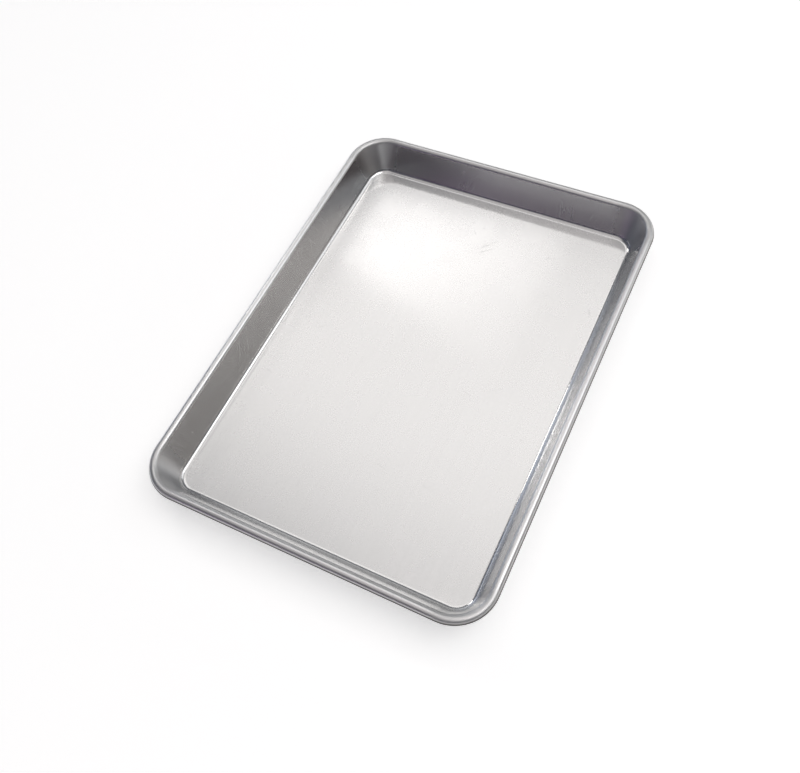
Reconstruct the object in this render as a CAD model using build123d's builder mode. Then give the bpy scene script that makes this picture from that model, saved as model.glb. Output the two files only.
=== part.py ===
from build123d import *
from math import acos, cos, degrees, radians, sin, tan
import os

# Jelly roll pan: one drawn sheet of aluminium with a flat floor, a low flared wall
# and a rim rolled outward over a loop of steel wire.
#
# The origin is the middle of the underside of the floor. +X points to one long side,
# +Y along the pan to one short side, +Z up. All lengths are in millimetres, all
# angles in degrees.

# Overall sizes, measured over the rolled rim
pan_width = 241.3
pan_length = 330.2
pan_height = 25.4
rim_corner_radius = 28.0

# The sheet and its bends
sheet_thickness = 1.0
wall_slope = 20.0
cove_radius = 4.0

# The wire in the rim
wire_diameter = 4.2
wire_clearance = 0.1
wire_end_gap = 0.8

# The slit left between the edge of the rolled rim and the wall
rim_slit = 0.4

# The roll: a tube of sheet round the wire, whose top is the top of the pan
bore_radius = wire_diameter / 2 + wire_clearance
roll_radius = bore_radius + sheet_thickness
roll_height = pan_height - roll_radius

# The roll runs on past the bottom of the tube until only the slit parts it from the wall
full_turn = 360.0
half_turn = full_turn / 2
quarter_turn = full_turn / 4
roll_turn = full_turn - degrees(acos((bore_radius - rim_slit) / roll_radius))

# The wall's inner face is a straight slope, tangent to the cove below and to the roll
# above. These are its height and its reach in plan, from the flat floor to the rim.
slope = radians(wall_slope)
slope_rise = roll_height - sheet_thickness - cove_radius + (roll_radius + cove_radius) * sin(slope)
slope_reach = slope_rise * tan(slope)
roll_reach = (cove_radius + roll_radius) * cos(slope) + slope_reach
floor_inset = roll_reach + roll_radius

# The flat floor ends where the cove begins
floor_width = pan_width - 2 * floor_inset
floor_length = pan_length - 2 * floor_inset
floor_corner_radius = rim_corner_radius - floor_inset


# Pan body: the flat floor, then the wall and the rolled rim carried round its edge
with BuildPart() as pan_body:
    with BuildSketch():
        RectangleRounded(floor_width, floor_length, floor_corner_radius)
    extrude(amount=sheet_thickness)

    with BuildLine():
        floor_edge = FilletPolyline(
            (floor_width / 2, floor_length / 2),
            (-floor_width / 2, floor_length / 2),
            (-floor_width / 2, -floor_length / 2),
            (floor_width / 2, -floor_length / 2),
            radius=floor_corner_radius,
            close=True,
        )

    # The section of the wall stands square to the floor's edge, with its X pointing
    # outward from the edge and its Y up.
    outward = (floor_edge % 0).cross(Axis.Z.direction)
    section_plane = Plane(origin=floor_edge @ 0, x_dir=outward, z_dir=-(floor_edge % 0))
    cove_centre = (0, sheet_thickness + cove_radius)
    roll_centre = (roll_reach, roll_height)
    with BuildSketch(section_plane):
        with BuildLine():
            cove_turn = quarter_turn - wall_slope
            roll_start = half_turn - wall_slope
            cove_top = CenterArc(cove_centre, cove_radius, -quarter_turn, cove_turn)
            cove_under = CenterArc(cove_centre, cove_radius + sheet_thickness, -quarter_turn, cove_turn)
            roll_outside = CenterArc(roll_centre, roll_radius, roll_start, -roll_turn)
            roll_inside = CenterArc(roll_centre, bore_radius, roll_start, -roll_turn)
            Line(cove_top @ 1, roll_outside @ 0)
            Line(cove_under @ 1, roll_inside @ 0)
            Line(roll_outside @ 1, roll_inside @ 1)
            Line(cove_top @ 0, cove_under @ 0)
        make_face()
    sweep(path=floor_edge)

pan_body.part.label = "pan_body"


# Rim wire: one length of wire bent round the pan inside the roll, its two cut ends
# facing each other across a small gap at the middle of the short side at -Y
wire_half_width = pan_width / 2 - roll_radius
wire_half_length = pan_length / 2 - roll_radius
with BuildPart() as rim_wire:
    with BuildLine(Plane.XY.offset(roll_height)):
        wire_path = FilletPolyline(
            (wire_end_gap / 2, -wire_half_length),
            (wire_half_width, -wire_half_length),
            (wire_half_width, wire_half_length),
            (-wire_half_width, wire_half_length),
            (-wire_half_width, -wire_half_length),
            (-wire_end_gap / 2, -wire_half_length),
            radius=rim_corner_radius - roll_radius,
        )
    with BuildSketch(Plane(origin=wire_path @ 0, z_dir=wire_path % 0)):
        Circle(wire_diameter / 2)
    sweep(path=wire_path)

rim_wire.part.label = "rim_wire"


os.makedirs("parts", exist_ok=True)
export_step(pan_body.part, "parts/pan_body.step")
export_step(rim_wire.part, "parts/rim_wire.step")

print(f"flat floor {floor_width:.2f} by {floor_length:.2f}, {floor_inset:.2f} in from the rim's edge")
print(f"rim roll {2 * roll_radius:.2f} across, turned through {roll_turn:.1f} degrees")
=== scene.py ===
from math import acos, cos, hypot, pi, radians, sin, tan

import bmesh
import bpy
from bpy.props import FloatProperty, FloatVectorProperty, PointerProperty
from mathutils import Matrix, Vector


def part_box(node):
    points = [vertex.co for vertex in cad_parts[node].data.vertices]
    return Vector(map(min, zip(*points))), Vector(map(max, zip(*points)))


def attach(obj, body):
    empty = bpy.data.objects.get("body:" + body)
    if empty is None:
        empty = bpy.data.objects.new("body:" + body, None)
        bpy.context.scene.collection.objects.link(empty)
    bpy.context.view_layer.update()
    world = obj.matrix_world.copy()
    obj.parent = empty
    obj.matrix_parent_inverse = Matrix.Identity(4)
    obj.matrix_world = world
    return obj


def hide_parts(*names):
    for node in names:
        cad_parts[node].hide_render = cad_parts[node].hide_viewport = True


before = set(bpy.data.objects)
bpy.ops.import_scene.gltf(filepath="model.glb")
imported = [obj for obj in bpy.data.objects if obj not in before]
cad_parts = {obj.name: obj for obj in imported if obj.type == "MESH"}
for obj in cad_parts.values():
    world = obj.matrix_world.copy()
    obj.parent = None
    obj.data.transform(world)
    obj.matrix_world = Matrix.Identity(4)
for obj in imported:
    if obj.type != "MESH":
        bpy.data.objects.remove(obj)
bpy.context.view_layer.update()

bl_info = {
    "name": "Jelly Roll Pan",
    "version": (1, 0, 0),
    "blender": (4, 5, 0),
    "location": "3D View > Sidebar > Baking Pan",
    "description": "Dresses a drawn aluminium baking pan with a wired rim and sets its studio",
    "category": "Object",
}

PAN_LOW, PAN_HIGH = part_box("pan_body")

# Round soft lamps: azimuth from +Y towards -X and elevation in degrees, distance and
# radius in metres, how bright each one looks (white paper in plain light is 1), colour
LAMPS = {
    "left_lamp": (58.0, 36.0, 2.6, 0.24, 6.0, (1.0, 0.97, 0.94)),
    "overhead_lamp": (180.0, 72.0, 2.6, 1.40, 0.45, (1.0, 0.93, 0.90)),
    "near_lamp": (255.0, 62.0, 2.6, 0.84, 0.9, (1.0, 0.98, 0.96)),
    "right_lamp": (285.0, 66.0, 2.6, 0.95, 1.2, (1.0, 0.98, 0.96)),
    "far_lamp": (318.0, 46.0, 2.6, 0.90, 1.0, (1.0, 1.0, 1.0)),
}

# The low cards that stand round the pan, as azimuth in degrees and linear colour
CARDS = (
    (0.0, (0.26, 0.26, 0.26)),
    (20.0, (0.43, 0.43, 0.43)),
    (50.0, (0.44, 0.46, 0.50)),
    (66.0, (0.36, 0.42, 0.54)),
    (84.0, (0.03, 0.04, 0.08)),
    (125.0, (0.015, 0.02, 0.05)),
    (147.0, (0.12, 0.07, 0.15)),
    (166.0, (0.04, 0.02, 0.05)),
    (190.0, (0.02, 0.015, 0.02)),
    (225.0, (0.02, 0.015, 0.02)),
    (270.0, (0.06, 0.04, 0.03)),
    (288.0, (0.19, 0.175, 0.16)),
    (312.0, (0.46, 0.43, 0.41)),
    (328.0, (0.48, 0.48, 0.48)),
    (358.0, (0.26, 0.26, 0.26)),
)

# The window card, as its reflection lies on the pan's floor: x and y of its four corners
WINDOW_ON_FLOOR = ((-0.095, 0.058), (0.050, 0.016), (0.062, 0.140), (-0.095, 0.140))

# How the window card's light fades across it: what its far edge counts for against its right
# edge, where the fade begins and ends, and the share of the light that is left
CARD_FAR_WEIGHT = 0.6
CARD_FADE = (-0.45, 0.85)
CARD_FADED = 0.10

MM = 0.001
QUARTER = pi / 2
FULL = 2 * pi

# Steps of the sheet's mesh: along the long and the short sides, round a corner, and in the
# section round the cove, the outside of the roll and its bore
RUN_STEPS = (28, 20)
CORNER_STEPS = 24
COVE_STEPS = 14
ROLL_STEPS = 60
BORE_STEPS = 44

# Faces of the sheet that meet at more than this angle, in degrees, show an edge
SHARP_ANGLE = 35.0

# Marks that follow the sheet: noise scale along the run and across the section, then detail
# and roughness of the noise
SHEET_MARKS = {
    "grain": ((70.0, 2400.0, 1.0), 3.0, 0.6),
    "streak": ((11.0, 420.0, 1.0), 2.0, 0.5),
    "drawn": ((900.0, 60.0, 1.0), 3.0, 0.55),
}

# Marks without a direction: noise scale, detail, roughness and distortion
ROUND_MARKS = {
    "mottle": (520.0, 4.0, 0.62, 0.0),
    "cloud": (46.0, 4.0, 0.58, 0.6),
    "stain": (13.0, 2.0, 0.5, 1.0),
}

# How much each mark adds to the tone, roughness, relief and haze of the metal
TONE = {
    "mottle": 0.12,
    "cloud": 0.26,
    "stain": 0.20,
    "grain": 0.14,
    "streak": 0.20,
    "drawn": 0.8,
    "speck": -0.7,
    "scratch": -0.35,
    "worked": -0.6,
}
ROUGH = {
    "worked": 0.12,
    "mottle": 0.03,
    "cloud": 0.06,
    "stain": 0.05,
    "streak": 0.04,
    "drawn": 0.08,
    "scratch": 0.10,
}
RELIEF = {"grain": 0.12, "streak": 0.2, "mottle": 0.22, "cloud": 0.8, "drawn": 1.6, "scratch": -0.4}
HAZE = {"cloud": 0.10, "mottle": 0.04}

# Where things change round the bead, as degrees above level that its surface faces, outward,
# with the change beginning at the first and ending at the second: where the rim's roughness
# begins, and where the painted shade under the bead begins and ends. The painted shade is a
# dark grey colour that stands in for the shade and dark reflections under the rolled rim;
# past its end the sheet keeps the share given last
BURNISHED = (162.0, 150.0)
SHADE_BEGINS = (46.0, 16.0)
SHADE_ENDS = (-80.0, -45.0)
OUTSIDE_SHADE = 0.40

# Heights between which the floor's finish gives way to the wall's, and where a corner's draw
# marks begin and are full, measured from the end of the straight side into the corner
FLOOR_ENDS = (1.3 * MM, 4.5 * MM)
CORNER_MARKS = (-9.0 * MM, 4.0 * MM)

# Darkest and lightest tone of each metal, as factors on its colour, and how deep its relief is
SHEET_TONES = (0.88, 1.12)
WIRE_TONES = (0.82, 1.12)
SHEET_BUMP = {"Strength": 0.14, "Distance": 0.05 * MM}
WIRE_BUMP = {"Strength": 0.2, "Distance": 0.03 * MM}

# Scratches: the ways they run, in degrees, the noise scale along and across them, how fine
# they are, and the scale of a second noise and the levels of it between which they appear
SCRATCH_TURNS = (12.0, 67.0, 141.0)
SCRATCH_SCALE = (9.0, 330.0, 9.0)
SCRATCH_LINE = 0.006
SCRATCH_PATCHES = 34.0
SCRATCH_KEPT = (0.60, 0.68)

# Pits: cells to a metre, where a pit's edge lies in its cell, and the random levels between
# which a cell gets one
SPECK_CELLS = 170.0
SPECK_EDGE = (0.085, 0.045)
SPECK_KEPT = (0.80, 0.84)

# Zinc: cells of its spangle and of its clouding to a metre
SPANGLE_CELLS = 900.0
ZINC_CLOUDS = 300.0

# Where the room's pale walls give way to its ceiling, as the sine of the elevation
HORIZON = (0.20, 0.34)

# How the window's light fades at its right and left edge: where it begins and where it is
# full, as the sine of the angle in from that edge
RIGHT_FADE = (0.0, 0.12)
LEFT_FADE = (-0.15, 0.45)


def length(name, description, default):
    """A length property, in metres."""
    return FloatProperty(
        name=name,
        description=description,
        default=default,
        min=0,
        precision=5,
        unit="LENGTH",
        subtype="DISTANCE",
    )


def angle(name, description, default):
    """An angle property, whose default is given in degrees."""
    return FloatProperty(
        name=name,
        description=description,
        default=radians(default),
        subtype="ANGLE",
        unit="ROTATION",
    )


def share(name, description, default):
    """A property from 0 to 1."""
    return FloatProperty(
        name=name,
        description=description,
        default=default,
        min=0,
        max=1,
        subtype="FACTOR",
    )


def tint(name, description, default):
    """A colour property, in linear light."""
    return FloatVectorProperty(
        name=name,
        description=description,
        default=default,
        size=3,
        min=0,
        max=1,
        subtype="COLOR",
    )


class PanSizes(bpy.types.PropertyGroup):
    """The pan's sizes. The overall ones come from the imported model."""

    width: length("Width", "Across the long sides, over the rim", PAN_HIGH.x - PAN_LOW.x)
    length: length("Length", "Across the short sides, over the rim", PAN_HIGH.y - PAN_LOW.y)
    height: length("Height", "From the underside to the top of the rim", PAN_HIGH.z - PAN_LOW.z)
    corner_radius: length("Corner radius", "Of the rim's outer edge, seen from above", 28.0 * MM)
    thickness: length("Sheet thickness", "Of the drawn sheet", 1.0 * MM)
    wall_slope: angle("Wall slope", "How far the wall leans from upright", 20.0)
    cove_radius: length("Cove radius", "Of the bend between floor and wall, inside", 4.0 * MM)
    wire_diameter: length("Wire diameter", "Of the wire in the rim", 4.2 * MM)
    wire_clearance: length("Wire clearance", "Between the wire and the roll", 0.1 * MM)
    rim_slit: length("Rim slit", "Between the edge of the roll and the wall", 0.4 * MM)


class PanFinish(bpy.types.PropertyGroup):
    """Colours and textures of the metal."""

    sheet_colour: tint("Sheet colour", "Aluminium, as rolled and drawn", (0.80, 0.80, 0.80))
    floor_roughness: share("Floor roughness", "Of the rolled surface inside the pan", 0.13)
    wall_roughness: share("Wall roughness", "Of the drawn walls", 0.22)
    rim_roughness: share("Rim roughness", "Of the burnished rim", 0.32)
    # Painted shade: a dark grey colour and its roughness under the rolled rim, standing in for the shade and
    # dark reflections there
    painted_shade_colour: tint("Painted shade colour", "Dull grey under the rolled rim", (0.13, 0.125, 0.12))
    painted_shade_roughness: share("Painted shade roughness", "Under the rolled rim", 0.50)
    haze_roughness: share("Haze roughness", "Of the fine scatter that lies over the sheet's shine", 0.45)
    floor_haze: share("Floor haze", "Share of the fine scatter on the floor", 0.25)
    wall_haze: share("Wall haze", "Share of the fine scatter on the walls and the rim", 0.06)
    wire_colour: tint("Wire colour", "Zinc coating of the rim wire", (0.55, 0.56, 0.57))
    wire_roughness: share("Wire roughness", "Of the zinc coating", 0.45)


class Studio(bpy.types.PropertyGroup):
    """The camera, the floor and the light."""

    aim: FloatVectorProperty(
        name="Aim",
        description="Where the camera looks",
        default=(-0.0003, -0.0246, 0.0),
        size=3,
        precision=4,
        unit="LENGTH",
    )
    distance: length("Distance", "From the camera to its aim", 0.5849)
    azimuth: angle("Azimuth", "Of the view, turned from +Y towards -X", 36.48)
    elevation: angle("Elevation", "Of the camera above the floor", 59.48)
    roll: angle("Roll", "Of the camera about its line of sight", 12.05)
    lens: FloatProperty(name="Lens", description="Focal length in millimetres", default=38.30, min=1)
    sensor: FloatProperty(name="Sensor", description="Sensor width in millimetres", default=36.0, min=1)
    floor_colour: tint("Floor colour", "Matt white studio floor", (0.95, 0.95, 0.95))
    floor_reach: length("Floor reach", "Half the side of the floor", 6.0)
    ceiling_light: share("Ceiling light", "Brightness of the room overhead", 0.10)
    window_light: share("Window light", "Brightness added by the broad window above the far side", 1.14)
    window_azimuth: angle("Window azimuth", "Of the window's middle, turned from +Y towards -X", 22.0)
    window_elevation: angle("Window elevation", "Of the window's middle above the floor", 55.0)
    window_core: angle("Window core", "Out to where the window is fully bright", 13.0)
    window_edge: angle("Window edge", "Out to where the window's light has faded away", 40.0)
    window_sill: angle("Window sill", "Elevation at which the window's light begins", 43.0)
    window_full: angle("Window full", "Elevation from which the window is fully bright", 53.0)
    window_right: angle("Window right", "Azimuth of the window's right edge", -10.0)
    window_left: angle("Window left", "Azimuth of the window's left edge", 95.0)
    card_height: length("Card height", "Of the white card that the pan's floor reflects", 1.9)
    card_light: share("Card light", "Brightness of the card at its far left corner", 1.0)
    ceiling_tint: tint("Ceiling tint", "Colour of the dim room overhead", (0.80, 0.86, 1.0))
    window_tint: tint("Window tint", "Colour of the window's light", (1.0, 0.975, 0.96))
    horizon_tint: tint("Horizon tint", "Colour and brightness of the room's pale walls", (0.90, 0.90, 0.90))
    ring_radius: length("Ring radius", "Of the ring of dark cards", 5.0)
    ring_low: length("Ring low edge", "Height of the cards' lower edge", 0.25)
    ring_high: length("Ring high edge", "Height of the cards' upper edge", 2.0)
    card_strength: FloatProperty(
        name="Card strength",
        description="Scales the cards' brightness",
        default=1.3,
        min=0,
    )
    floor_lift: share("Floor lift", "Brightness that the camera and shiny metal also see on the floor", 0.44)


class Signal:
    """A value in a node tree. Arithmetic on it adds the Math nodes that work it out."""

    def __init__(self, board, socket):
        self.board, self.socket = board, socket

    def math(self, operation, *others, clamp=False):
        values = dict(enumerate((self, *others)))
        return self.board.add("ShaderNodeMath", {"operation": operation, "use_clamp": clamp}, values).out()

    def __add__(self, other):
        return self.math("ADD", other)

    def __sub__(self, other):
        return self.math("SUBTRACT", other)

    def __rsub__(self, other):
        return Signal.math(self.board.number(other), "SUBTRACT", self)

    def __mul__(self, other):
        return self.math("MULTIPLY", other)

    def clamped(self):
        return self.math("ADD", 0.0, clamp=True)

    __radd__ = __add__
    __rmul__ = __mul__


class Added:
    """A node just added, and its outputs."""

    def __init__(self, board, node):
        self.board, self.node = board, node

    def out(self, name=None):
        shown = [s for s in self.node.outputs if s.enabled and name in (None, s.name)]
        return Signal(self.board, shown[0])


class Board:
    """The nodes of one material or of the world."""

    def __init__(self, owner):
        owner.use_nodes = True
        self.tree = owner.node_tree
        self.tree.nodes.clear()

    def add(self, kind, settings=None, values=None):
        node = self.tree.nodes.new(kind)
        for name, setting in (settings or {}).items():
            if name == "stops":
                self.set_stops(node.color_ramp, setting)
            else:
                setattr(node, name, setting)
        for key, value in (values or {}).items():
            socket = self.find(node, key)
            if isinstance(value, Signal):
                self.tree.links.new(value.socket, socket)
            else:
                socket.default_value = value
        return Added(self, node)

    @staticmethod
    def set_stops(ramp, stops):
        while len(ramp.elements) < len(stops):
            ramp.elements.new(1.0)
        for element, (position, colour) in zip(ramp.elements, stops):
            element.position = position
            element.color = rgba(colour)

    @staticmethod
    def find(node, key):
        if isinstance(key, int):
            return node.inputs[key]
        return next(s for s in node.inputs if s.enabled and s.name == key)

    def number(self, value):
        """A plain number as a signal, for reflected arithmetic."""
        return self.add("ShaderNodeMath", {"operation": "ADD"}, {0: value, 1: 0.0}).out()

    def noise(self, where, scale, detail=2.0, roughness=0.5, distortion=0.0):
        values = {
            "Vector": where,
            "Scale": scale,
            "Detail": detail,
            "Roughness": roughness,
            "Distortion": distortion,
        }
        return self.add("ShaderNodeTexNoise", {"noise_dimensions": "3D"}, values).out("Fac")

    def stretched(self, where, scale):
        """The coordinates scaled by three factors."""
        return self.add("ShaderNodeVectorMath", {"operation": "MULTIPLY"}, {0: where, 1: scale}).out()

    def along(self, where, direction):
        """How far a direction runs along another one."""
        settings = {"operation": "DOT_PRODUCT"}
        return self.add("ShaderNodeVectorMath", settings, {0: where, 1: direction}).out("Value")

    def across_surface(self):
        """The two coordinates of the object's texture map."""
        return self.add("ShaderNodeSeparateXYZ", values={"Vector": self.add("ShaderNodeUVMap").out()})

    def ramp(self, value, low, high, to_low=0.0, to_high=1.0):
        """A smooth step of value between low and high."""
        settings = {"interpolation_type": "SMOOTHSTEP"}
        values = {"Value": value, "From Min": low, "From Max": high, "To Min": to_low, "To Max": to_high}
        return self.add("ShaderNodeMapRange", settings, values).out()

    def blend(self, factor, first, second):
        """A colour between two colours."""
        settings = {"data_type": "RGBA", "blend_type": "MIX"}
        return self.add("ShaderNodeMix", settings, {"Factor": factor, "A": first, "B": second}).out()


def rgba(colour, factor=1.0):
    return (*(factor * c for c in colour), 1.0)


def pan_stations(sizes, floor_inset, run_steps, corner_steps):
    """Places round the edge of the flat floor, counterclockwise: the point, the outward
    direction and the distance run so far."""
    floor_radius = sizes.corner_radius - floor_inset
    reach_x = sizes.width / 2 - sizes.corner_radius
    reach_y = sizes.length / 2 - sizes.corner_radius
    corners = [(reach_x, -reach_y), (reach_x, reach_y), (-reach_x, reach_y), (-reach_x, -reach_y)]
    stations = []
    run = 0.0
    for number, corner in enumerate(corners):
        centre = Vector(corner)
        start_angle = (number - 1) * QUARTER
        for step in range(corner_steps):
            turned = start_angle + QUARTER * step / corner_steps
            outward = Vector((cos(turned), sin(turned)))
            distance = floor_radius * QUARTER * step / corner_steps
            stations.append((centre + outward * floor_radius, outward, run + distance))
        run += floor_radius * QUARTER
        outward = Vector((cos(start_angle + QUARTER), sin(start_angle + QUARTER)))
        following = Vector(corners[(number + 1) % len(corners)])
        steps = run_steps[number % 2]
        for step in range(steps):
            centre_here = centre.lerp(following, step / steps)
            distance = (following - centre).length * step / steps
            stations.append((centre_here + outward * floor_radius, outward, run + distance))
        run += (following - centre).length
    return stations


def arc(centre, radius, start, turn, steps):
    """Points along an arc, both ends included."""
    places = (start + turn * step / steps for step in range(steps + 1))
    return [(centre[0] + radius * cos(a), centre[1] + radius * sin(a)) for a in places]


def wall_and_roll(sizes):
    """The roll's inner and outer radius, its centre's height and how far the straight wall rises."""
    bore = sizes.wire_diameter / 2 + sizes.wire_clearance
    roll = bore + sizes.thickness
    roll_height = sizes.height - roll
    bends = (roll + sizes.cove_radius) * sin(sizes.wall_slope)
    return bore, roll, roll_height, roll_height - sizes.thickness - sizes.cove_radius + bends


def pan_section(sizes):
    """The wall and rolled rim as a line round the sheet's cut section, from the floor's upper
    face to its underside. Each point is (distance out from the flat floor's edge, height)."""
    bore, roll, roll_height, rise = wall_and_roll(sizes)
    roll_turn = FULL - acos((bore - sizes.rim_slit) / roll)
    slope = sizes.wall_slope
    reach = (sizes.cove_radius + roll) * cos(slope) + rise * tan(slope)
    cove = (0.0, sizes.thickness + sizes.cove_radius)
    tube = (reach, roll_height)
    inside = arc(cove, sizes.cove_radius, -QUARTER, QUARTER - slope, COVE_STEPS)
    over = arc(tube, roll, pi - slope, -roll_turn, ROLL_STEPS)
    under = arc(tube, bore, pi - slope - roll_turn, roll_turn, BORE_STEPS)
    outside = arc(cove, sizes.cove_radius + sizes.thickness, -slope, slope - QUARTER, COVE_STEPS)
    return inside + over + under + outside, reach + roll


def build_sheet(sizes):
    """The drawn sheet as one closed mesh: two floor faces, and the section carried round them."""
    section, floor_inset = pan_section(sizes)
    stations = pan_stations(sizes, floor_inset, RUN_STEPS, CORNER_STEPS)
    mesh = bmesh.new()
    uv = mesh.loops.layers.uv.new("SheetRun")
    across = [0.0]
    for before, after in zip(section, section[1:]):
        across.append(across[-1] + hypot(after[0] - before[0], after[1] - before[1]))

    rings = []
    for place, outward, run in stations:
        rings.append([mesh.verts.new((*(place + outward * out), height)) for out, height in section])
    count = len(stations)
    round_length = 2 * (sizes.width + sizes.length)
    for index in range(count):
        here, there = rings[index], rings[(index + 1) % count]
        run_here = stations[index][2]
        run_there = stations[index + 1][2] if index + 1 < count else round_length
        for step in range(len(section) - 1):
            face = mesh.faces.new((here[step], there[step], there[step + 1], here[step + 1]))
            corners = ((run_here, step), (run_there, step), (run_there, step + 1), (run_here, step + 1))
            for loop, (run, at) in zip(face.loops, corners):
                loop[uv].uv = (run, across[at])
    fill_floor(mesh, uv, stations, [ring[0] for ring in rings], RUN_STEPS, CORNER_STEPS, True)
    fill_floor(mesh, uv, stations, [ring[-1] for ring in rings], RUN_STEPS, CORNER_STEPS, False)

    data = bpy.data.meshes.new("drawn_sheet")
    mesh.to_mesh(data)
    mesh.free()
    data.shade_smooth()
    data.set_sharp_from_angle(angle=radians(SHARP_ANGLE))
    pan = bpy.data.objects.new("drawn_sheet", data)
    bpy.context.scene.collection.objects.link(pan)
    return pan


def fill_floor(mesh, uv, stations, edge, run_steps, corner_steps, faces_up):
    """One flat face of the floor: a grid between the corner centres, strips beside it and a
    fan in each corner, with a narrow border that keeps the flat shading flat."""
    height = edge[0].co.z
    border = 0.5 * MM
    inner = [mesh.verts.new((*(place - outward * border), height)) for place, outward, _ in stations]
    side = corner_steps + run_steps[0]
    other = corner_steps + run_steps[1]
    half = side + other
    count = len(stations)

    def add(*corners):
        face = mesh.faces.new(corners if faces_up else corners[::-1])
        for loop in face.loops:
            loop[uv].uv = (loop.vert.co.y, loop.vert.co.x)

    for index in range(count):
        following = (index + 1) % count
        add(edge[index], edge[following], inner[following], inner[index])

    rows, columns = run_steps[0], run_steps[1]
    right = [inner[(corner_steps + row) % count] for row in range(rows + 1)]
    top = [inner[(side + corner_steps + column) % count] for column in range(columns + 1)]
    left = [inner[(half + corner_steps + row) % count] for row in range(rows + 1)][::-1]
    bottom = [inner[(half + side + corner_steps + column) % count] for column in range(columns + 1)]
    top = top[::-1]
    grid = []
    for beside in right:
        grid.append([mesh.verts.new((below.co.x, beside.co.y, height)) for below in bottom])
    for row in range(rows):
        for column in range(columns):
            add(grid[row][column], grid[row][column + 1], grid[row + 1][column + 1], grid[row + 1][column])
    for row in range(rows):
        add(grid[row][columns], right[row], right[row + 1], grid[row + 1][columns])
        add(left[row], grid[row][0], grid[row + 1][0], left[row + 1])
    for column in range(columns):
        add(bottom[column], bottom[column + 1], grid[0][column + 1], grid[0][column])
        add(grid[rows][column], grid[rows][column + 1], top[column + 1], top[column])
    centres = (grid[0][columns], grid[rows][columns], grid[rows][0], grid[0][0])
    for start, centre in zip((0, side, half, half + side), centres):
        for step in range(corner_steps):
            add(centre, inner[start + step], inner[(start + step + 1) % count])


def bead_mark(sizes, lift):
    """How far across the section the bead's surface faces a given angle above level, outward."""
    roll, rise = wall_and_roll(sizes)[1::2]
    slope = sizes.wall_slope
    start = sizes.cove_radius * (QUARTER - slope) + rise / cos(slope)
    return start + roll * (pi - slope - radians(lift))


def mixed(marks, amounts):
    """The sum of the named marks, each times its amount."""
    total = 0.0
    for name, amount in amounts.items():
        total = marks[name] * amount + total
    return total


def aluminium(sizes, finish):
    """Satin aluminium: fine rolling grain, mottling and haze on the floor, draw marks up the
    corners, a burnished bead with painted shade underneath, light scratches and a few specks."""
    material = bpy.data.materials.new("satin_aluminium")
    board = Board(material)
    place = board.add("ShaderNodeTexCoord").out("Object")
    sheet = board.add("ShaderNodeUVMap", {"uv_map": "SheetRun"}).out()
    apart = board.add("ShaderNodeSeparateXYZ", values={"Vector": place})
    across = board.add("ShaderNodeSeparateXYZ", values={"Vector": sheet}).out("Y")

    # Where things are: off the floor, on the bead, under the bead where shade is painted, in the corners
    off_floor = board.ramp(apart.out("Z"), *FLOOR_ENDS)
    on_bead = board.ramp(across, *(bead_mark(sizes, lift) for lift in BURNISHED)) * off_floor
    # The painted shade under the bead is full from where it begins to where it ends, with a share of it
    # beyond
    begins = board.ramp(across, *(bead_mark(sizes, lift) for lift in SHADE_BEGINS))
    ends = board.ramp(across, *(bead_mark(sizes, lift) for lift in SHADE_ENDS), OUTSIDE_SHADE, 1.0)
    shade_under_bead = begins * ends * off_floor
    beyond_x = apart.out("X").math("ABSOLUTE") - (sizes.width / 2 - sizes.corner_radius)
    beyond_y = apart.out("Y").math("ABSOLUTE") - (sizes.length / 2 - sizes.corner_radius)
    corner = board.ramp(beyond_x.math("MINIMUM", beyond_y), *CORNER_MARKS)

    # Marks in the metal: the noises about 0, the rest from 0 to 1
    marks = {
        "scratch": scratches(board, place),
        "speck": specks(board, place),
        "worked": corner * off_floor,
    }
    for name, (scale, detail, roughness) in SHEET_MARKS.items():
        marks[name] = board.noise(board.stretched(sheet, scale), 1.0, detail, roughness) - 0.5
    for name, settings in ROUND_MARKS.items():
        marks[name] = board.noise(place, *settings) - 0.5
    marks["drawn"] = marks["drawn"] * marks["worked"]

    tone = 0.5 + mixed(marks, TONE)
    colour = board.blend(tone.clamped(), *(rgba(finish.sheet_colour, factor) for factor in SHEET_TONES))
    rough = finish.floor_roughness + off_floor * (finish.wall_roughness - finish.floor_roughness)
    rough = rough + on_bead * (finish.rim_roughness - finish.wall_roughness) + mixed(marks, ROUGH)
    relief = {**SHEET_BUMP, "Height": mixed(marks, RELIEF)}
    shared = {"Metallic": 1.0, "Normal": board.add("ShaderNodeBump", values=relief).out()}
    satin = {"Base Color": colour, "Roughness": rough.clamped()}
    hazy = {"Base Color": colour, "Roughness": finish.haze_roughness}
    # Painted shade under the rolled rim: a dark grey, rougher metal that stands in for the shade and dark
    # reflections there
    dull = {
        "Base Color": rgba(finish.painted_shade_colour),
        "Specular Tint": rgba(finish.painted_shade_colour),
        "Roughness": finish.painted_shade_roughness,
    }
    satin = board.add("ShaderNodeBsdfPrincipled", values={**shared, **satin}).out("BSDF")
    hazy = board.add("ShaderNodeBsdfPrincipled", values={**shared, **hazy}).out("BSDF")
    dull = board.add("ShaderNodeBsdfPrincipled", values={**shared, **dull}).out("BSDF")
    haze = finish.floor_haze + off_floor * (finish.wall_haze - finish.floor_haze) + mixed(marks, HAZE)
    clean = board.add("ShaderNodeMixShader", values={0: haze.clamped(), 1: satin, 2: hazy}).out()
    shader = board.add("ShaderNodeMixShader", values={0: shade_under_bead, 1: clean, 2: dull})
    board.add("ShaderNodeOutputMaterial", values={"Surface": shader.out()})
    return material


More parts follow.
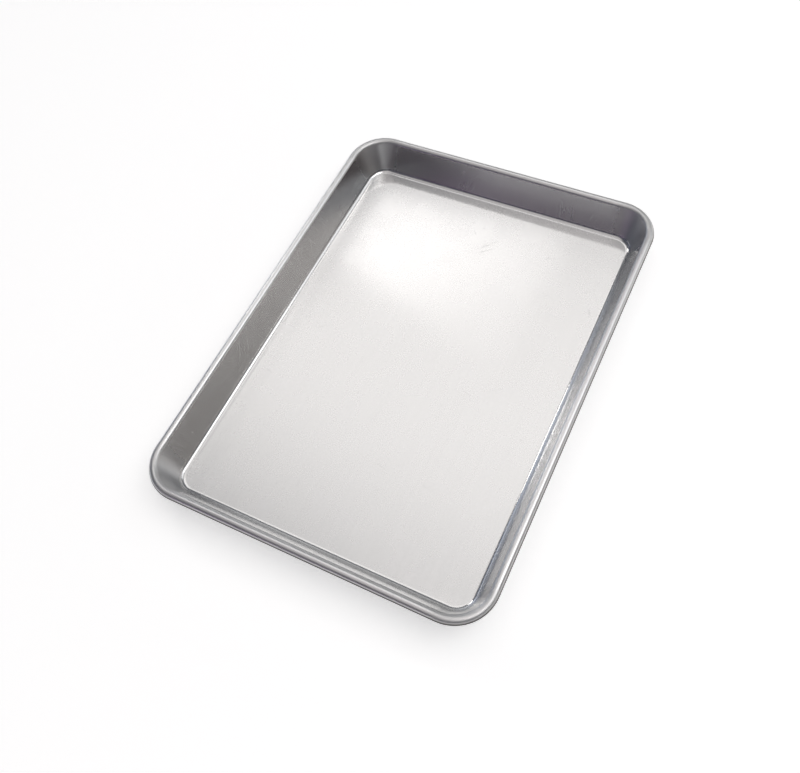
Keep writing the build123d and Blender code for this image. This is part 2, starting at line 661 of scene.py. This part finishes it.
def scratches(board, place):
    """Fine, sparse scratches in three directions, from 0 to 1."""
    lines = None
    for number, turned in enumerate(SCRATCH_TURNS):
        values = {
            "Vector": place,
            "Rotation": (0.0, 0.0, radians(turned)),
            "Location": (0.37 * number, 0.0, 0.0),
        }
        lying = board.add("ShaderNodeMapping", {"vector_type": "POINT"}, values).out()
        wave = board.noise(board.stretched(lying, SCRATCH_SCALE), 1.0, 1.0, 0.5)
        line = board.ramp((wave - 0.5).math("ABSOLUTE"), SCRATCH_LINE, 0.0)
        kept = board.ramp(board.noise(lying, SCRATCH_PATCHES, 2.0, 0.5), *SCRATCH_KEPT)
        line = line * kept
        lines = line if lines is None else lines + line
    return lines.clamped()


def specks(board, place):
    """A few tiny pits, from 0 to 1."""
    cells = board.add("ShaderNodeTexVoronoi", {"feature": "F1"}, {"Vector": place, "Scale": SPECK_CELLS})
    spot = board.ramp(cells.out("Distance"), *SPECK_EDGE)
    pick = board.add("ShaderNodeSeparateXYZ", values={"Vector": cells.out("Color")}).out("X")
    return spot * board.ramp(pick, *SPECK_KEPT)


def zinc(finish):
    """Galvanised wire: a dull coat with small spangles."""
    material = bpy.data.materials.new("galvanised_wire")
    board = Board(material)
    place = board.add("ShaderNodeTexCoord").out("Object")
    cells = board.add("ShaderNodeTexVoronoi", {"feature": "F1"}, {"Vector": place, "Scale": SPANGLE_CELLS})
    spangle = cells.out("Distance")
    cloud = board.noise(place, ZINC_CLOUDS, 3.0, 0.6)
    tone = (0.4 + spangle * 0.6 + (cloud - 0.5) * 0.5).clamped()
    colour = board.blend(tone, *(rgba(finish.wire_colour, factor) for factor in WIRE_TONES))
    rough = finish.wire_roughness + (spangle - 0.4) * 0.25
    relief = {**WIRE_BUMP, "Height": cloud}
    normal = board.add("ShaderNodeBump", values=relief).out()
    shader = board.add(
        "ShaderNodeBsdfPrincipled",
        values={"Base Color": colour, "Metallic": 1.0, "Roughness": rough.clamped(), "Normal": normal},
    )
    board.add("ShaderNodeOutputMaterial", values={"Surface": shader.out("BSDF")})
    return material


def placed(name, mesh, material):
    """A studio object made of a finished mesh."""
    data = bpy.data.meshes.new(name)
    mesh.to_mesh(data)
    mesh.free()
    data.materials.append(material)
    made = bpy.data.objects.new(name, data)
    bpy.context.scene.collection.objects.link(made)
    return made


def studio_floor(studio):
    """Matt white floor. The camera and shiny metal see it a little brighter than its light."""
    material = bpy.data.materials.new("studio_floor")
    board = Board(material)
    lit = board.add("ShaderNodeBsdfDiffuse", values={"Color": rgba(studio.floor_colour)})
    path = board.add("ShaderNodeLightPath")
    seen = path.out("Is Camera Ray") + path.out("Is Glossy Ray") + path.out("Is Transmission Ray")
    lift = board.add("ShaderNodeEmission", values={"Strength": seen.clamped() * studio.floor_lift})
    shader = board.add("ShaderNodeAddShader", values={0: lit.out(), 1: lift.out()})
    board.add("ShaderNodeOutputMaterial", values={"Surface": shader.out()})
    mesh = bmesh.new()
    bmesh.ops.create_grid(mesh, x_segments=8, y_segments=8, size=studio.floor_reach)
    floor = placed("studio_floor", mesh, material)
    floor.location.z = -0.1 * MM
    return floor


def studio_camera(studio):
    """The camera at the photograph's viewing angle."""
    data = bpy.data.cameras.new("camera")
    data.lens, data.sensor_width = studio.lens, studio.sensor
    camera = bpy.data.objects.new("camera", data)
    bpy.context.scene.collection.objects.link(camera)
    azimuth, elevation = studio.azimuth, studio.elevation
    back = Vector((sin(azimuth) * cos(elevation), -cos(azimuth) * cos(elevation), sin(elevation)))
    camera.rotation_mode = "QUATERNION"
    turn = (-back).to_track_quat("-Z", "Y")
    camera.rotation_quaternion = turn @ Matrix.Rotation(-studio.roll, 3, "Z").to_quaternion()
    camera.location = Vector(studio.aim) + back * studio.distance
    bpy.context.scene.camera = camera
    return camera


def studio_world(studio):
    """A pale room, dimmer overhead, with one broad soft window."""
    world = bpy.data.worlds.new("studio_world")
    board = Board(world)
    place = board.add("ShaderNodeTexCoord").out("Generated")
    height = board.add("ShaderNodeSeparateXYZ", values={"Vector": place}).out("Z")
    window = towards(studio.window_azimuth, studio.window_elevation)
    glow = board.ramp(board.along(place, window), cos(studio.window_edge), cos(studio.window_core))
    glow = glow * board.ramp(height, sin(studio.window_sill), sin(studio.window_full))
    leftward = towards(studio.window_right + QUARTER, 0.0)
    glow = glow * board.ramp(board.along(place, leftward), *RIGHT_FADE)
    rightward = towards(studio.window_left - QUARTER, 0.0)
    glow = glow * board.ramp(board.along(place, rightward), *LEFT_FADE)
    above = board.ramp(height, *HORIZON)
    room = board.blend(above, rgba(studio.horizon_tint), rgba(studio.ceiling_tint, studio.ceiling_light))
    colour = board.blend(glow, room, rgba(studio.window_tint, studio.window_light))
    light = board.add("ShaderNodeBackground", values={"Color": colour, "Strength": 1.0})
    board.add("ShaderNodeOutputWorld", values={"Surface": light.out()})
    bpy.context.scene.world = world
    return world


def towards(azimuth, elevation):
    """The direction at an azimuth from +Y towards -X and an elevation."""
    return Vector((-sin(azimuth) * cos(elevation), cos(azimuth) * cos(elevation), sin(elevation)))


def studio_lamp(name, azimuth, elevation, distance, radius, brightness, colour):
    """A round soft lamp turned to the pan."""
    data = bpy.data.lights.new(name, "AREA")
    data.shape = "DISK"
    data.size = 2 * radius
    data.energy = brightness * pi * pi * radius**2
    data.color = colour
    lamp = bpy.data.objects.new(name, data)
    place = towards(radians(azimuth), radians(elevation))
    lamp.location = place * distance
    lamp.rotation_mode = "QUATERNION"
    lamp.rotation_quaternion = place.to_track_quat("Z", "Y")
    lamp.visible_camera = False
    bpy.context.scene.collection.objects.link(lamp)
    return lamp


def window_card(studio, camera):
    """A soft bright card above the far left, placed where the camera sees it in the pan's floor.
    It is brightest at its far left corner and fades towards the near right one."""
    material = bpy.data.materials.new("window_card")
    board = Board(material)
    place = board.across_surface()
    away = place.out("X") - place.out("Y") * CARD_FAR_WEIGHT
    strength = board.ramp(away, *CARD_FADE, studio.card_light, CARD_FADED * studio.card_light)
    light = {"Color": rgba(studio.window_tint), "Strength": strength}
    glow = board.add("ShaderNodeEmission", values=light).out()
    clear = board.add("ShaderNodeBsdfTransparent").out()
    shader = board.add("ShaderNodeAddShader", values={0: glow, 1: clear})
    board.add("ShaderNodeOutputMaterial", values={"Surface": shader.out()})
    eye = camera.location * Vector((1, 1, -1))
    mesh = bmesh.new()
    uv = mesh.loops.layers.uv.new("UVMap")
    corners = []
    for x, y in WINDOW_ON_FLOOR:
        ray = Vector((x, y, 0)) - eye
        corners.append(mesh.verts.new(eye + ray * (studio.card_height - eye.z) / ray.z))
    face = mesh.faces.new(corners)
    for loop, spot in zip(face.loops, ((0, 0), (1, 0), (1, 1), (0, 1))):
        loop[uv].uv = spot
    card = placed("window_card", mesh, material)
    card.visible_camera = False
    return card


def card_ring(studio):
    """Low cards far round the pan, mostly dark, for its walls and its bead to reflect."""
    material = bpy.data.materials.new("card_ring")
    board = Board(material)
    stops = [(azimuth / 360.0, colour) for azimuth, colour in CARDS]
    turn = board.across_surface().out("X")
    colour = board.add("ShaderNodeValToRGB", {"stops": stops}, {0: turn}).out("Color")
    shader = board.add("ShaderNodeEmission", values={"Color": colour, "Strength": studio.card_strength})
    board.add("ShaderNodeOutputMaterial", values={"Surface": shader.out()})
    mesh = bmesh.new()
    uv = mesh.loops.layers.uv.new("UVMap")
    steps = 72
    rings = []
    for height in (studio.ring_low, studio.ring_high):
        places = (towards(FULL * step / steps, 0.0) * studio.ring_radius for step in range(steps))
        rings.append([mesh.verts.new((place.x, place.y, height)) for place in places])
    low, high = rings
    for step in range(steps):
        following = (step + 1) % steps
        face = mesh.faces.new((low[step], high[step], high[following], low[following]))
        for loop, mark in zip(face.loops, (step, step, step + 1, step + 1)):
            loop[uv].uv = (mark / steps, 0.0)
    ring = placed("card_ring", mesh, material)
    ring.visible_camera = False
    ring.visible_diffuse = False
    return ring


class PAN_OT_sheet(bpy.types.Operator):
    """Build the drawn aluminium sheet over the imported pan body"""

    bl_idname = "baking_pan.sheet"
    bl_label = "Build drawn sheet"

    def execute(self, context):
        sizes, finish = context.scene.pan_sizes, context.scene.pan_finish
        sheet = build_sheet(sizes)
        sheet.data.materials.append(aluminium(sizes, finish))
        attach(sheet, "root")
        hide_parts("pan_body")
        return {"FINISHED"}


class PAN_OT_wire(bpy.types.Operator):
    """Give the rim wire its galvanised finish"""

    bl_idname = "baking_pan.wire"
    bl_label = "Finish rim wire"

    def execute(self, context):
        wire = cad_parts["rim_wire"]
        wire.material_slots[0].material = zinc(context.scene.pan_finish)
        return {"FINISHED"}


class PAN_OT_studio(bpy.types.Operator):
    """Set the floor, the light and the camera"""

    bl_idname = "baking_pan.studio"
    bl_label = "Set studio"

    def execute(self, context):
        studio = context.scene.pan_studio
        studio_floor(studio)
        card_ring(studio)
        studio_world(studio)
        for name, settings in LAMPS.items():
            studio_lamp(name, *settings)
        window_card(studio, studio_camera(studio))
        context.scene.view_settings.view_transform = "Standard"
        return {"FINISHED"}


class PAN_PT_panel(bpy.types.Panel):
    """The pan's settings and the steps that build it"""

    bl_idname = "PAN_PT_panel"
    bl_label = "Jelly roll pan"
    bl_space_type = "VIEW_3D"
    bl_region_type = "UI"
    bl_category = "Baking Pan"

    def draw(self, context):
        for group in (context.scene.pan_sizes, context.scene.pan_finish, context.scene.pan_studio):
            box = self.layout.box()
            for name in group.__annotations__:
                box.prop(group, name)
        for step in STEPS:
            self.layout.operator(step.bl_idname)


STEPS = (PAN_OT_sheet, PAN_OT_wire, PAN_OT_studio)
GROUPS = {"pan_sizes": PanSizes, "pan_finish": PanFinish, "pan_studio": Studio}


def register():
    for kind in (*GROUPS.values(), *STEPS, PAN_PT_panel):
        bpy.utils.register_class(kind)
    for name, kind in GROUPS.items():
        setattr(bpy.types.Scene, name, PointerProperty(type=kind))


def unregister():
    for name in GROUPS:
        delattr(bpy.types.Scene, name)
    for kind in (PAN_PT_panel, *STEPS[::-1], *GROUPS.values()):
        bpy.utils.unregister_class(kind)


def main():
    register()
    bpy.ops.baking_pan.sheet()
    bpy.ops.baking_pan.wire()
    bpy.ops.baking_pan.studio()


if __name__ == "__main__":
    main()
